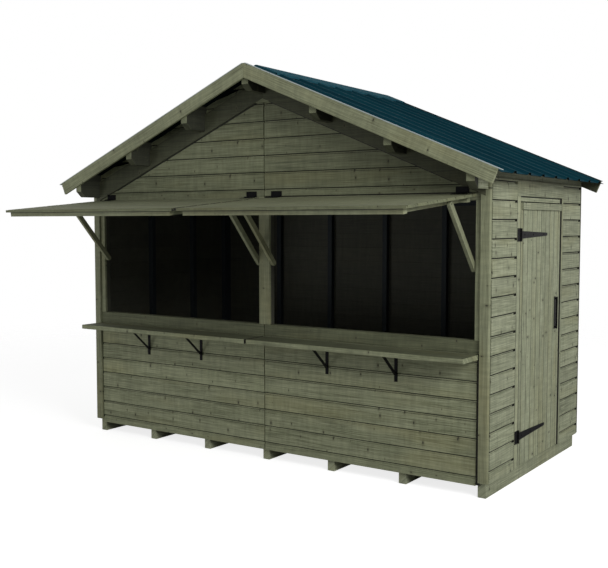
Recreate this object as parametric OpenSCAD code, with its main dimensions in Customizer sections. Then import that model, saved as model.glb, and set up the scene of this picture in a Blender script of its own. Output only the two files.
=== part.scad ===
// Timber event chalet with two serving hatches, a side door and a ribbed metal roof.
// Origin: ground level at the middle of the floor. X runs along the serving front, Y runs to the back.

/* [Body] */
// outside width over the side cladding
body_w = 3600; // [3000:10:4200]
// outside depth over the front and back cladding
body_d = 1768; // [1500:2:2400]
// thickness of the wall boards
board_t = 19; // [12:1:25]
// depth and width of the wall studs
stud = 44; // [38:1:50]
// underside of the front boards
front_bottom = 80; // [60:1:100]
// underside of the side and back boards
side_bottom = 102; // [80:1:108]
// underside of the roof above the outer faces of the side walls
eaves_z = 2155; // [2100:1:2250]
// from the top of the side boards up to the roof at their outer faces
eaves_gap = 80; // [75:1:110]

/* [Floor] */
// number of bearers under the floor
bearer_n = 7; // [5:1:9]
// width of a bearer
bearer_w = 58; // [40:1:80]
// height of a bearer
bearer_h = 110; // [100:1:120]
// thickness of the floor boards
deck_t = 18; // [15:1:22]

/* [Front] */
// height of the sill on which the hatches close
sill_z = 1030; // [1000:1:1060]
// depth of the sill rail
sill_h = 45; // [35:1:50]
// from the roof at the side walls down to the underside of the rail over the openings
head_drop = 223; // [223:1:260]
// width of a jamb
jamb_w = 91; // [80:1:120]
// width of the middle post
mullion_w = 97; // [60:1:110]
// width of the corner trims
trim_w = 68; // [50:1:80]
// how far the corner trims stand proud of the boards
trim_t = 18; // [12:1:22]

/* [Counter] */
// height of the counter top
counter_z = 940; // [900:1:960]
// thickness of the counter boards
counter_t = 33; // [22:1:36]
// how far the counter stands out
counter_d = 238; // [200:1:300]
// from the end of the counter to the corner trim
counter_end = 10; // [7:1:60]
// from the outer end of the left counter board to its first bracket
bracket_end_left = 539; // [200:1:700]
// from the outer end of the right counter board to its first bracket
bracket_end_right = 602; // [200:1:700]
// distance between the brackets of one counter board
bracket_gap = 560; // [300:1:700]
// height of a bracket
bracket_h = 201; // [170:1:240]
// reach of a bracket below the counter
bracket_d = 200; // [170:1:230]
// width of a bracket's bars
bracket_w = 24; // [20:1:32]

/* [Hatches] */
// how far an open hatch droops below the level
hatch_droop = 5.4; // [2:0.1:12]
// how far a shut hatch reaches below the top of the sill
hatch_lap_z = 13; // [8:1:30]
// how far a shut hatch reaches past the jamb's edge
hatch_lap_x = 22; // [10:1:30]
// from the middle of the front to the centre of the inner hinges
hinge_in = 115; // [90:1:160]
// from the outer end of a hatch to the centre of its outer hinge
hinge_out = 115; // [70:1:160]
// width of a hatch hinge
leaf_w = 95; // [80:1:110]
// thickness of the hatch boards
hatch_t = 18; // [14:1:20]
// thickness of the battens behind the hatch boards
batten_t = 33; // [28:1:40]
// width of the battens
batten_w = 45; // [38:1:50]
// length of a prop between its pivot and its foot
prop_l = 551; // [545:1:556]
// width of a prop
prop_w = 40; // [35:1:45]
// thickness of a prop
prop_t = 25; // [20:1:26]

/* [Door] */
// width of the doorway with its strips
doorway_w = 921; // [860:1:960]
// middle of the doorway behind the middle of the side wall
door_mid = 8.5; // [-20:0.5:40]
// width of the strips beside the door
strip_w = 60; // [50:1:65]
// underside of the door
door_z0 = 112; // [112:1:120]
// from the roof at the side walls down to the board over the door
header_drop = 187; // [180:1:210]
// from the board over the door down to the top of the door
door_head = 43; // [40:1:60]
// width of the ledges behind the door
ledge_w = 95; // [80:1:110]
// from the underside of the door up to the middle of the lower strap hinge
strap_low = 207; // [150:1:260]
// from the top of the door down to the middle of the upper strap hinge
strap_high = 219; // [150:1:260]
// length of a strap
strap_l = 500; // [350:1:560]
// width of a strap at its root
strap_root = 52; // [45:1:60]
// width of a strap at its tip
strap_tip = 22; // [16:1:30]
// height of a hinge plate beside the door
plate_h = 90; // [80:1:110]
// length of the door handle
handle_l = 235; // [180:1:300]
// height of the handle's lower end
handle_z = 1003; // [900:1:1050]
// how far the handle stands off the door
handle_out = 16; // [14:1:40]
// from the door's back edge to the handle
handle_in = 85; // [60:1:110]
// gap round the door
door_gap = 8; // [6:1:10]

/* [Roof] */
// slope of the roof
slope = 22.81; // [20:0.01:25]
// how far the roof reaches past the side walls
eaves_out = 155; // [140:1:200]
// how far the roof reaches past the front wall
verge_front = 244; // [200:1:320]
// how far the roof reaches past the back wall
verge_back = 81; // [75:1:200]
// from the front edge of the roof to the middle of its first rib
rib_first = 220; // [100:1:240]
// width of a rib at its base
rib_base = 64; // [50:1:80]
// width of a rib at its top
rib_top = 30; // [20:1:40]
// height of a roof rib
rib_h = 16; // [12:1:32]
// distance between roof ribs
rib_pitch = 248; // [200:1:333]
// depth of the barge boards
barge_w = 87; // [80:1:110]
// thickness of the barge boards
barge_t = 20; // [16:1:25]
// how far the barge boards reach past the side walls
barge_out = 131; // [120:1:140]
// width of a purlin
purlin_w = 58; // [45:1:70]
// depth of a purlin at its middle line
purlin_d = 176; // [150:1:178]
// from the roof down to the lower edge of the wide trims below it
trim_low = 212; // [205:1:225]
// width of the trims below the roof
gable_trim_w = 140; // [120:1:150]

/* [Hidden] */
$fn = 48;
half_w = body_w / 2;
side_top = eaves_z - eaves_gap;
head_z = eaves_z - head_drop;
gable_z = head_z + stud;
header_z = eaves_z - header_drop;
door_z1 = header_z - door_head;
door_y0 = door_mid - doorway_w / 2;
door_y1 = door_mid + doorway_w / 2;
half_d = body_d / 2;
in_x = half_w - board_t;
in_y = half_d - board_t;
stud_x = in_x - stud;
stud_y = in_y - stud;
deck_z = bearer_h + deck_t;
floor_x = in_x - 6;
fine = 1;
sheet_t = 3;
seat = 0.3;
front_bays = 6;
iron_t = 4;
ledge_in = 40;
strap_step = 10;
barrel_l = 30.6;
plate_t = 3;
handle_r = 7;
tan_s = tan(slope);
cos_s = cos(slope);
sin_s = sin(slope);
ridge_z = eaves_z + half_w * tan_s;
jamb_x = in_x - jamb_w;
roof_x = half_w + eaves_out;
roof_y0 = -half_d - verge_front;
roof_y1 = half_d + verge_back;
barge_x = half_w + barge_out;
counter_x = half_w - trim_w - counter_end;
bracket_x = [-counter_x + bracket_end_left, -counter_x + bracket_end_left + bracket_gap,
    counter_x - bracket_end_right - bracket_gap, counter_x - bracket_end_right];
hatch_x = jamb_x + hatch_lap_x;
band_top = purlin_d + purlin_w / 2 * tan_s + seat;
band_bot = band_top + stud / cos_s;
trim_high = trim_low - gable_trim_w / cos_s;
trim_end = half_w - 38;
eaves_x = in_x - fine - purlin_w / 2;
purlin_pitch = eaves_x / 3;
purlin_x = [for (i = [-2 : 2]) i * purlin_pitch];
rib_in = rib_base / 2 - 5;
rib_n = floor((roof_y1 - roof_y0 - rib_first - rib_base / 2 - 2 * sheet_t) / rib_pitch);
plate_top = ridge_z - eaves_x * tan_s - purlin_d;
gable_pitch = in_x / 3;
back_shift = 64;
back_studs = [for (i = [-2 : 2]) back_shift + i * purlin_pitch];
side_shift = 42;
side_step = 560;
side_studs = [side_shift - side_step / 2, side_shift + side_step / 2];
cap_w = 180;
hatch_gap = 5.5;
barrel_r = 5;
axis_y = -half_d - hatch_gap - hatch_t - 4.5;
axis_z = gable_z + 2;
hatch_top = axis_z - 8;
hatch_h = hatch_top - sill_z + hatch_lap_z;
hatch_in = axis_y + 4.5 + hatch_t;
hatch_turn = -(90 - hatch_droop);
hinge_x = [hinge_in, hatch_x - hinge_out];
knuckle = 20;
cross_x0 = mullion_w / 2 + 7.5;
cross_x1 = jamb_x - 6;
prop_x0 = mullion_w / 2 + 6;
prop_x1 = jamb_x - 6 - prop_t;
side_x0 = prop_x0 + prop_t + 5.5;
side_x1 = prop_x1 - 5.5 - batten_w;
pivot_y = 48;
pivot_z = -322;
pivot_r = 5;
prop_turn = 41.9;
door_x = half_w + 6;
door_hinge_y = door_y0 + strip_w + 3;
leaf_y0 = door_y0 + strip_w + door_gap;
leaf_y1 = door_y1 - strip_w - door_gap;
door_barrel_r = 6;
strap_z = [door_z0 + strap_low, door_z1 - strap_high];

function roof_at(x) = ridge_z - abs(x) * tan_s;

module timber() { color([0.46, 0.47, 0.35]) children(); }
module dark_timber() { color([0.36, 0.37, 0.28]) children(); }
module iron() { color([0.09, 0.09, 0.1]) children(); }
module steel_roof() { color([0.05, 0.2, 0.27]) children(); }

// box from its low corner to its high corner
module span(lo, hi) { translate(lo) cube(hi - lo); }

// flat shape drawn in X and Z, standing between two values of Y
module upright(y0, y1) { translate([0, y1, 0]) rotate([90, 0, 0]) linear_extrude(y1 - y0) children(); }

// flat shape drawn in Y and Z, standing between two values of X
module crosswise(x0, x1) { translate([x0, 0, 0]) rotate([90, 0, 90]) linear_extrude(x1 - x0) children(); }

module both_sides() {
    children();
    mirror([1, 0, 0]) children();
}

// outline of one purlin, its top cut to the slope
module purlin_outline(x, ease = 0) {
    low = roof_at(x) - purlin_d - ease;
    a = x - purlin_w / 2 - ease;
    b = x + purlin_w / 2 + ease;
    if (x == 0)
        polygon([[a, low], [b, low], [b, roof_at(b)], [0, ridge_z], [a, roof_at(a)]]);
    else
        polygon([[a, low], [b, low], [b, roof_at(b)], [a, roof_at(a)]]);
}

module purlin_holes() {
    for (x = purlin_x) purlin_outline(x, fine);
    for (x = [-eaves_x, eaves_x]) purlin_outline(x, fine);
}

// band that follows the roof on the right half, between two depths below it
module slope_band(x0, x1, high, low) {
    polygon([[x0, roof_at(x0) - high], [x1, roof_at(x1) - high], [x1, roof_at(x1) - low],
        [x0, roof_at(x0) - low]]);
}

module bearers() {
    step = (2 * floor_x - bearer_w) / (bearer_n - 1);
    timber() for (i = [0 : bearer_n - 1])
        span([-floor_x + i * step, -in_y + 1, 0], [-floor_x + i * step + bearer_w, in_y - 1, bearer_h]);
}

module floor_deck() {
    dark_timber() span([-floor_x, -in_y + 1, bearer_h], [floor_x, in_y - 1, deck_z]);
}

module front_boards() {
    timber() both_sides()
        span([1.5, -half_d, front_bottom], [in_x, -in_y, sill_z - sill_h]);
}

// plates below and above a row of studs, drawn flat; the studs stand a hair short of the plates
module stud_row(x0, x1, low, high, places) {
    translate([x0, low]) square([x1 - x0, stud]);
    translate([x0, high - stud]) square([x1 - x0, stud]);
    for (x = places)
        translate([x, low + stud + seat]) square([stud, high - low - 2 * stud - 2 * seat]);
}

module front_frame() {
    step = (2 * in_x - stud) / front_bays;
    dark_timber() upright(-in_y, -stud_y)
        stud_row(-in_x, in_x, deck_z, sill_z - sill_h, [for (i = [0 : front_bays]) -in_x + i * step]);
}

module sill_rail() {
    timber() span([-in_x, -half_d, sill_z - sill_h], [in_x, -stud_y, sill_z]);
}

module middle_post() {
    timber() span([-mullion_w / 2, -half_d, sill_z], [mullion_w / 2, -stud_y, head_z]);
}

module front_jambs() {
    timber() both_sides()
        span([jamb_x, -half_d, sill_z], [in_x, -stud_y, head_z]);
}

module gable_half(low) {
    difference() {
        polygon([[1.5, low], [in_x, low], [in_x, roof_at(in_x) - 2], [1.5, roof_at(1.5) - 2]]);
        purlin_holes();
    }
}

module front_gable_boards() {
    timber() both_sides() upright(-half_d, -in_y) gable_half(gable_z);
}

// sloping rails below the purlins and the short studs that carry them
module gable_ribs() {
    foot = head_z + stud + seat;
    both_sides() intersection() {
        slope_band(seat, in_x, band_top, band_bot);
        translate([0, foot]) square([in_x, ridge_z]);
    }
    for (i = [-2 : 2])
        translate([i * gable_pitch - stud / 2, foot])
            square([stud, roof_at(abs(i) * gable_pitch + stud / 2) - band_bot - seat - foot]);
}

module front_gable_frame() {
    dark_timber() {
        upright(-in_y, -stud_y) gable_ribs();
        span([-in_x, -half_d, head_z], [in_x, -stud_y, head_z + stud]);
    }
}

module gable_trim_pair(y0, y1) {
    timber() both_sides() upright(y0, y1) difference() {
        slope_band(1, trim_end, trim_high, trim_low);
        purlin_holes();
    }
}

module front_gable_trims() {
    difference() {
        gable_trim_pair(-half_d - trim_t, -half_d);
        both_sides()
            span([hinge_x[1] - leaf_w / 2 - fine, -half_d - trim_t - 1, gable_z - 1],
                [hinge_x[1] + leaf_w / 2 + fine, -half_d + 1, axis_z + 42 + fine]);
    }
}

module back_gable_trims() { gable_trim_pair(half_d, half_d + trim_t); }

module corner_trim_pair(y0, y1) {
    timber() both_sides() upright(y0, y1) difference() {
        translate([half_w - trim_w, side_bottom + 4]) square([trim_w, side_top - side_bottom - 4]);
        slope_band(1, trim_end + fine, 0, trim_low + fine);
        purlin_holes();
    }
}

module front_corner_trims() { corner_trim_pair(-half_d - trim_t, -half_d); }
module back_corner_trims() { corner_trim_pair(half_d, half_d + trim_t); }

module back_boards() {
    timber() upright(in_y, half_d) difference() {
        polygon([[-in_x, side_bottom], [in_x, side_bottom], [in_x, roof_at(in_x) - 2], [0, ridge_z - 2],
            [-in_x, roof_at(in_x) - 2]]);
        purlin_holes();
    }
}

module back_frame() {
    dark_timber() upright(stud_y, in_y) {
        stud_row(-in_x, in_x, deck_z, head_z + stud,
            concat([-in_x], [for (x = back_studs) x - stud / 2], [in_x - stud]));
        gable_ribs();
    }
}

module left_boards() {
    timber() span([-half_w, -half_d, side_bottom], [-in_x, half_d, side_top]);
}

module left_frame() {
    dark_timber() crosswise(-in_x, -stud_x) {
        stud_row(-stud_y + seat, stud_y - seat, deck_z, plate_top,
            [-stud_y + seat, side_studs[0] - stud / 2, side_studs[1] - stud / 2, stud_y - stud - seat]);
    }
}

module right_boards() {
    timber() {
        span([in_x, -half_d, side_bottom], [half_w, door_y0, side_top]);
        span([in_x, door_y1, side_bottom], [half_w, half_d, side_top]);
    }
}

module door_header() {
    timber() span([in_x, door_y0 + fine, header_z], [half_w, door_y1 - fine, side_top]);
}

module right_frame() {
    dark_timber() crosswise(stud_x, in_x) {
        translate([-stud_y + seat, deck_z]) square([door_y0 + stud + stud_y - seat, stud]);
        translate([door_y1 - stud, deck_z]) square([stud_y - door_y1 + stud - seat, stud]);
        translate([-stud_y + seat, plate_top - stud]) square([2 * (stud_y - seat), stud]);
        for (y = [-stud_y + seat, door_y0, door_y1 - stud, stud_y - stud - seat])
            translate([y, deck_z + stud + seat]) square([stud, plate_top - deck_z - 2 * stud - 2 * seat]);
    }
}

module door_strips() {
    timber() {
        span([in_x, door_y0 + fine, side_bottom], [half_w, door_y0 + strip_w, header_z - fine]);
        span([in_x, door_y1 - strip_w, side_bottom], [half_w, door_y1 - fine, header_z - fine]);
        span([in_x, door_y0 + strip_w + seat, door_z1 + 7],
            [half_w - 5, door_y1 - strip_w - seat, header_z - 8]);
    }
}

module door_leaf() {
    timber() {
        span([in_x, leaf_y0, door_z0], [half_w, leaf_y1, door_z1]);
        span([half_w, leaf_y0 + 14, door_z1 - 48], [half_w + 14, leaf_y1 - 8, door_z1]);
    }
}

module door_ledges() {
    dark_timber() for (z = [strap_z[0], (strap_z[0] + strap_z[1]) / 2, strap_z[1]])
        span([in_x - board_t, leaf_y0 + ledge_in, z - ledge_w / 2],
            [in_x, leaf_y1 - ledge_in, z + ledge_w / 2]);
}

module door_straps() {
    iron() for (z = strap_z) {
        crosswise(half_w, half_w + iron_t) {
            polygon([[door_hinge_y + strap_step, z - strap_root / 2],
                [door_hinge_y + strap_l, z - strap_tip / 2], [door_hinge_y + strap_l, z + strap_tip / 2],
                [door_hinge_y + strap_step, z + strap_root / 2]]);
            translate([door_hinge_y + strap_l, z]) circle(strap_tip / 2);
        }
        span([half_w + 0.5, door_hinge_y, z - barrel_l / 2],
            [half_w + iron_t, door_hinge_y + strap_step + 1, z + barrel_l / 2]);
        translate([door_x, door_hinge_y, z - barrel_l / 2]) cylinder(r = door_barrel_r, h = barrel_l);
    }
}

module door_hinge_plates() {
    iron() for (z = strap_z) {
        span([half_w, door_y0 + 4, z - plate_h / 2], [half_w + plate_t, door_hinge_y - 7, z + plate_h / 2]);
        for (s = [[-plate_h / 2, -barrel_l / 2 - 0.7], [barrel_l / 2 + 0.7, plate_h / 2]]) {
            span([half_w + 0.5, door_hinge_y - 8, z + s[0]], [half_w + plate_t, door_hinge_y, z + s[1]]);
            translate([door_x, door_hinge_y, z + s[0]]) cylinder(r = door_barrel_r, h = s[1] - s[0]);
        }
    }
}

module door_handle() {
    foot = handle_r + 5;
    iron() translate([half_w, leaf_y1 - handle_in, handle_z]) {
        translate([handle_out, 0, 0]) cylinder(r = handle_r, h = handle_l);
        for (z = [foot, handle_l - foot])
            translate([0, 0, z]) rotate([0, 90, 0]) cylinder(r = handle_r - 1, h = handle_out);
    }
}

module purlins() {
    timber() difference() {
        union() {
            upright(roof_y0 + barge_t, roof_y1 - barge_t) {
                for (x = purlin_x) purlin_outline(x);
                for (x = [-eaves_x, eaves_x]) purlin_outline(x);
            }
        }
        for (x = concat(purlin_x, [-eaves_x, eaves_x]))
            crosswise(x - purlin_w, x + purlin_w)
                polygon([[roof_y0 + barge_t - 1, roof_at(x) - purlin_d + 44],
                    [roof_y0 + barge_t + 50, roof_at(x) - purlin_d - 1],
                    [roof_y0 + barge_t - 1, roof_at(x) - purlin_d - 1]]);
    }
}

// one rib of the sheet, hollow below
module rib_outline(y) {
    difference() {
        polygon([[y - rib_base / 2, 0], [y + rib_base / 2, 0], [y + rib_top / 2, rib_h + sheet_t],
            [y - rib_top / 2, rib_h + sheet_t]]);
        polygon([[y - rib_in, -1], [y + rib_in, -1], [y + rib_top / 2 - sheet_t, rib_h],
            [y - rib_top / 2 + sheet_t, rib_h]]);
    }
}

module sheet_outline() {
    difference() {
        translate([roof_y0, 0]) square([roof_y1 - roof_y0, sheet_t]);
        for (k = [0 : rib_n])
            translate([roof_y0 + rib_first + k * rib_pitch - rib_in, -1]) square([2 * rib_in, sheet_t + 2]);
    }
    for (k = [0 : rib_n]) rib_outline(roof_y0 + rib_first + k * rib_pitch);
    translate([roof_y0, 0]) square([sheet_t, rib_h]);
    translate([roof_y1 - sheet_t, 0]) square([sheet_t, rib_h]);
}

module roof_sheet() {
    steel_roof() translate([0, 0, ridge_z + seat / cos_s]) rotate([0, slope, 0])
        crosswise(4, roof_x / cos_s) sheet_outline();
}

module roof_sheet_right() { roof_sheet(); }
module roof_sheet_left() { mirror([1, 0, 0]) roof_sheet(); }

module ridge_cap() {
    rise = (rib_h + sheet_t + 2 * seat) / cos_s;
    steel_roof() upright(roof_y0, roof_y1)
        polygon([[0, ridge_z + rise], [cap_w, ridge_z + rise - cap_w * tan_s],
            [cap_w, ridge_z + rise + sheet_t - cap_w * tan_s], [0, ridge_z + rise + sheet_t],
            [-cap_w, ridge_z + rise + sheet_t - cap_w * tan_s], [-cap_w, ridge_z + rise - cap_w * tan_s]]);
}

module barge_pair(y0, y1) {
    timber() both_sides() upright(y0, y1)
        polygon([[0.5, roof_at(0.5)], [barge_x, roof_at(barge_x)],
            [barge_x - barge_w * sin_s, roof_at(barge_x) - barge_w * cos_s],
            [0.5, roof_at(0.5) - barge_w / cos_s]]);
}

module front_barge_boards() { barge_pair(roof_y0, roof_y0 + barge_t); }
module back_barge_boards() { barge_pair(roof_y1 - barge_t, roof_y1); }

module counters() {
    timber() both_sides()
        span([2, -half_d - counter_d, counter_z - counter_t], [counter_x, -half_d, counter_z]);
}

module counter_brackets() {
    under = counter_z - counter_t;
    iron() for (x = bracket_x)
        crosswise(x - bracket_w / 2, x + bracket_w / 2) {
            translate([-half_d - iron_t, under - bracket_h]) square([iron_t, bracket_h]);
            translate([-half_d - bracket_d, under - iron_t]) square([bracket_d - iron_t - seat, iron_t]);
            polygon([[-half_d - iron_t - seat, under - bracket_h + 50],
                [-half_d - bracket_d + 26, under - iron_t - seat],
                [-half_d - bracket_d + 19, under - iron_t - seat],
                [-half_d - iron_t - seat, under - bracket_h + 44]]);
        }
}

module hatch_hinge_plates() {
    iron() both_sides() for (c = hinge_x) {
        span([c - leaf_w / 2, -half_d - 3, axis_z + 2], [c + leaf_w / 2, -half_d, axis_z + 42]);
        for (s = [[-leaf_w / 2, -knuckle], [knuckle, leaf_w / 2]]) {
            span([c + s[0], axis_y, axis_z + 1], [c + s[1], -half_d, axis_z + 4]);
            translate([c + s[0], axis_y, axis_z]) rotate([0, 90, 0]) cylinder(r = barrel_r, h = s[1] - s[0]);
        }
    }
}

// turns a hatch, drawn shut, about its hinge to where it is propped open
module open_hatch() {
    translate([0, axis_y, axis_z]) rotate([hatch_turn, 0, 0]) translate([0, -axis_y, -axis_z]) children();
}

module hatch_boards() {
    timber() open_hatch()
        span([3, axis_y + 4.5, hatch_top - hatch_h], [hatch_x, hatch_in, hatch_top]);
}

module hatch_battens() {
    top = head_z - 5;
    low = sill_z + 7;
    mid = (side_x0 + side_x1) / 2;
    dark_timber() open_hatch() {
        span([cross_x0, hatch_in, top - batten_w], [cross_x1, hatch_in + batten_t, top]);
        span([cross_x0, hatch_in, low], [cross_x1, hatch_in + batten_t, low + batten_w]);
        for (x = [side_x0, mid, side_x1])
            span([x, hatch_in, low + batten_w + seat],
                [x + batten_w, hatch_in + batten_t, top - batten_w - seat]);
    }
}

module hatch_iron() {
    iron() open_hatch() {
        for (c = hinge_x) {
            span([c - leaf_w / 2, axis_y + 1.5, axis_z - 60], [c + leaf_w / 2, axis_y + 4.5, axis_z - 10]);
            span([c - knuckle + 0.7, axis_y + 1.5, axis_z - 11], [c + knuckle - 0.7, axis_y + 4.5, axis_z]);
            translate([c - knuckle + 0.7, axis_y, axis_z]) rotate([0, 90, 0])
                cylinder(r = barrel_r, h = 2 * knuckle - 1.4);
        }
        for (s = [[prop_x0 - 1, side_x0], [side_x1 + batten_w, prop_x1 + prop_t + 1]])
            translate([s[0], axis_y + pivot_y, axis_z + pivot_z]) rotate([0, 90, 0])
                cylinder(r = pivot_r - 0.3, h = s[1] - s[0]);
    }
}

module hatch_right_boards() { hatch_boards(); }
module hatch_right_battens() { hatch_battens(); }
module hatch_right_iron() { hatch_iron(); }
module hatch_left_boards() { mirror([1, 0, 0]) hatch_boards(); }
module hatch_left_battens() { mirror([1, 0, 0]) hatch_battens(); }
module hatch_left_iron() { mirror([1, 0, 0]) hatch_iron(); }

// a prop from its pivot on the open hatch down to its foot beside the post
module prop(x) {
    c = cos(hatch_turn);
    s = sin(hatch_turn);
    py = axis_y + pivot_y * c - pivot_z * s;
    pz = axis_z + pivot_y * s + pivot_z * c;
    timber() translate([0, py, pz]) rotate([prop_turn, 0, 0]) crosswise(x, x + prop_t) difference() {
        union() {
            circle(prop_w / 2);
            translate([-prop_w / 2, -prop_l]) square([prop_w, prop_l]);
            translate([0, -prop_l]) circle(prop_w / 2);
        }
        circle(pivot_r);
    }
}

module prop_right_inner() { prop(prop_x0); }
module prop_right_outer() { prop(prop_x1); }
module prop_left_inner() { mirror([1, 0, 0]) prop(prop_x0); }
module prop_left_outer() { mirror([1, 0, 0]) prop(prop_x1); }

bearers();
floor_deck();
front_boards();
front_frame();
sill_rail();
middle_post();
front_jambs();
front_gable_boards();
front_gable_frame();
front_gable_trims();
front_corner_trims();
back_boards();
back_frame();
back_gable_trims();
back_corner_trims();
left_boards();
left_frame();
right_boards();
door_header();
right_frame();
door_strips();
door_leaf();
door_ledges();
door_straps();
door_hinge_plates();
door_handle();
purlins();
roof_sheet_left();
roof_sheet_right();
ridge_cap();
front_barge_boards();
back_barge_boards();
counters();
counter_brackets();
hatch_hinge_plates();
hatch_left_boards();
hatch_left_battens();
hatch_left_iron();
hatch_right_boards();
hatch_right_battens();
hatch_right_iron();
prop_left_outer();
prop_left_inner();
prop_right_inner();
prop_right_outer();
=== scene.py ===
from math import acos, atan2, ceil, cos, pi, radians, sin, tan

import bmesh
import bpy
import numpy as np
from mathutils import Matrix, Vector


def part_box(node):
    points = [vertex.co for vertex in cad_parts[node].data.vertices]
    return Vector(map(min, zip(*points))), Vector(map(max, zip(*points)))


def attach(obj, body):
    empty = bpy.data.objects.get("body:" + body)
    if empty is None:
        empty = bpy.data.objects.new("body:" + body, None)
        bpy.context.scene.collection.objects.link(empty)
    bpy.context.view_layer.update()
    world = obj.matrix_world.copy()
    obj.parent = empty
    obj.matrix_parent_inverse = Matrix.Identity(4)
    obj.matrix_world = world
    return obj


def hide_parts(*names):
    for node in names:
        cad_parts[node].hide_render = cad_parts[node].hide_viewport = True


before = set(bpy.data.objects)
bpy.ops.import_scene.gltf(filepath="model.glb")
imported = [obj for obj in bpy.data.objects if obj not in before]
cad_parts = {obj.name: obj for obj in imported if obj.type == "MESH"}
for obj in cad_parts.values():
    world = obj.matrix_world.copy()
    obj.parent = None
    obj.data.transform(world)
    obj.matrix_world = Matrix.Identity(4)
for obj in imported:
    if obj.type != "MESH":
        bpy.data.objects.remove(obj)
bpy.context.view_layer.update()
mm = 0.001
grainDrift = np.array([17.3, 0.31, 5.1])  # metres by which a solid's tone moves its grain pattern


def corners(node):
    # lowest and highest corner of a CAD node in mm
    low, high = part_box(node)
    return np.array(low) / mm, np.array(high) / mm


def joined(*parts):
    # points from their coordinates, each spread over the whole grid
    return np.stack(np.broadcast_arrays(*parts), -1)


# Meshes. A solid is a tuple: points in mm, faces, and grain coordinates in mm along and across the fibres.
def tube(sections, grain):
    # closed solid: sections[i, j] is point j of the outline at station i; a flat face closes each end
    rows, cols, _ = sections.shape
    i = np.arange(rows - 1)[:, None]
    j = np.arange(cols)[None, :]
    n = (j + 1) % cols
    faces = np.stack([i * cols + j, i * cols + n, (i + 1) * cols + n, (i + 1) * cols + j], -1)
    faces = faces.reshape(-1, 4).tolist()
    faces.append(list(range(cols))[::-1])
    faces.append([(rows - 1) * cols + k for k in range(cols)])
    return sections.reshape(-1, 3), faces, grain.reshape(-1, 2)


def makePiece(name, solids, materials, replaced=(), body="chalet", smooth=None, shaded=None):
    # one object from many solids; each gets a tone, a seeded random number that shifts its grain and shade;
    # shaded takes the faces' middles in mm and normals and returns the number of each one's material
    rng = np.random.default_rng(sum(map(ord, name)))
    verts, faces, grain, tone, start = [], [], [], [], 0
    for points, loops, along in solids:
        shift = rng.uniform()
        verts.append(points)
        faces += [[start + k for k in loop] for loop in loops]
        grain.append(np.column_stack([along * mm, np.zeros(len(along))]) + shift * grainDrift)
        tone.append(np.full(len(points), shift))
        start += len(points)
    mesh = bpy.data.meshes.new(name)
    mesh.from_pydata((np.concatenate(verts) * mm).tolist(), [], faces)
    for key, kind, field, values in (("grain", "FLOAT_VECTOR", "vector", grain),
                                     ("tone", "FLOAT", "value", tone)):
        data = mesh.attributes.new(key, kind, "POINT").data
        data.foreach_set(field, np.concatenate(values).ravel())
    bm = bmesh.new()
    bm.from_mesh(mesh)
    bmesh.ops.remove_doubles(bm, verts=bm.verts, dist=1e-6)
    bmesh.ops.dissolve_degenerate(bm, edges=bm.edges, dist=1e-6)
    bmesh.ops.recalc_face_normals(bm, faces=bm.faces)
    bm.to_mesh(mesh)
    bm.free()
    for material in materials:
        mesh.materials.append(material)
    sides = mesh.polygons
    if shaded:
        at, normals = np.empty(len(sides) * 3), np.empty(len(sides) * 3)
        sides.foreach_get("center", at)
        sides.foreach_get("normal", normals)
        picked = shaded(at.reshape(-1, 3) / mm, normals.reshape(-1, 3))
        sides.foreach_set("material_index", picked.astype(np.int32))
    if smooth:
        sides.foreach_set("use_smooth", [True] * len(sides))
        mesh.set_sharp_from_angle(angle=radians(smooth))
    obj = bpy.data.objects.new(name, mesh)
    bpy.context.scene.collection.objects.link(obj)
    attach(obj, body)
    if replaced:
        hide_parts(*replaced)


# rows: where u (along a board), v (up the stack) and w (out of the wall) point
axesOf = {
    "front": np.array([[1, 0, 0], [0, 0, 1], [0, -1, 0]], float),
    "back": np.array([[-1, 0, 0], [0, 0, 1], [0, 1, 0]], float),
    "right": np.array([[0, 1, 0], [0, 0, 1], [1, 0, 0]], float),
    "left": np.array([[0, -1, 0], [0, 0, 1], [-1, 0, 0]], float),
    "door": np.array([[0, 0, 1], [0, 1, 0], [1, 0, 0]], float),
}


def boardOutline(board):
    # (v, w) outline of a rebated board: flat face with eased edges, above it a fine quirk, a sunk strip and a
    # slit whose depths are in painted shade, and a plain back
    a = np.linspace(0, pi / 2, 4)
    e, cover, thick, depth, deep = (board[k] for k in ("ease", "cover", "thick", "depth", "slitDepth"))
    top = cover - board["groove"]
    low = np.column_stack([e - e * np.cos(a), e * np.sin(a) - e])
    high = np.column_stack([top - e + e * np.sin(a), e * np.cos(a) - e])
    lip = cover - board["slit"]
    quirk = top + board["quirk"]
    rest = [[top, -board["quirkDepth"]], [quirk, -board["quirkDepth"]], [quirk, -depth],
            [lip, -depth], [lip, -deep], [cover + 1.5, -deep], [cover + 1.5, -thick + 3],
            [cover - 1, -thick], [0.3, -thick]]
    return np.concatenate([low, high, rest])


def boardSolid(axes, outline, u, low, face, cutTop, floor, notch=None):
    # carries the outline along u; points above the cut height at a station are lowered onto the cut; in the
    # last stretch, notch = (length, depth), the sunk strip drops to that depth
    v = np.maximum(outline[:, 0] + low, floor)
    v = np.minimum(v, np.maximum(cutTop(u), floor)[:, None])
    w = np.repeat((outline[:, 1] + face)[None, :], len(u), 0)
    if notch:
        strip = np.arange(8, 12)  # the points of the quirk and of the sunk strip
        last = np.flatnonzero(u > u[-1] - notch[0])
        w[np.ix_(last, strip)] = np.minimum(w[np.ix_(last, strip)], face - notch[1])
    return tube(joined(u[:, None], v, w) @ axes, joined(u[:, None], outline[:, 0] + outline[:, 1]))


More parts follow.
